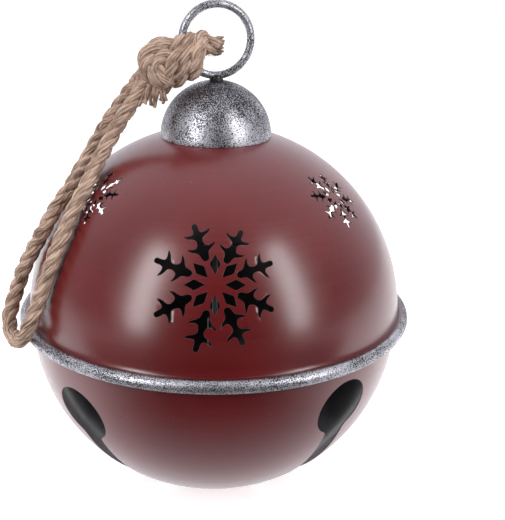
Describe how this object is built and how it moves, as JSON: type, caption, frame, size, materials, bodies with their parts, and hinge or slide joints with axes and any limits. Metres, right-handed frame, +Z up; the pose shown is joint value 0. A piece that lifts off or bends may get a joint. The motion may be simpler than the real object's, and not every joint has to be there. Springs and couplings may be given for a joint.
{
  "type": "jingle bell ornament",
  "caption": "Round sheet-metal jingle bell with cut-out snowflakes, keyhole slots, a beaded seam, a domed cap with a hanging ring, a clapper inside and a knotted rope loop.",
  "frame": {"origin": "middle of the pressed foot that the bell stands on", "axes": "+Z up the bell's axis to the hanging ring; -Y towards the front, where a big snowflake is; the rope hangs to -X"},
  "size_m": [0.324, 0.316, 0.3938],
  "materials": {
    "red_paint": "satin burgundy paint on spun steel sheet",
    "antique_silver": "antique silver paint speckled with black",
    "zinc_steel": "bright zinc-plated steel",
    "dark_steel": "plain turned steel",
    "jute": "laid jute rope"
  },
  "bodies": {
    "bell": {"upper_shell": "red_paint", "lower_shell": "red_paint", "rim_hoop": "antique_silver", "cap": "antique_silver", "hanging_ring": "antique_silver", "hanger_stud": "antique_silver", "stud_washer": "zinc_steel", "stud_nut": "zinc_steel", "clapper_eye": "zinc_steel", "rope_loop": "jute", "rope_knot": "jute", "rope_tail_ring": "jute", "rope_tail_low": "jute"},
    "link": {"clapper_link": "zinc_steel"},
    "clapper": {"clapper_rod": "zinc_steel", "clapper_weight": "dark_steel"}
  },
  "joints": [
    {"name": "link_swing", "type": "hinge", "parent": "bell", "child": "link", "pos_m": [0, 0, 0.26013], "axis": [1, 0, 0], "range_deg": [-28, 28]},
    {"name": "clapper_swing", "type": "hinge", "parent": "link", "child": "clapper", "pos_m": [0, 0, 0.24743], "axis": [0, 1, 0], "range_deg": [-35, 35]}
  ]
}
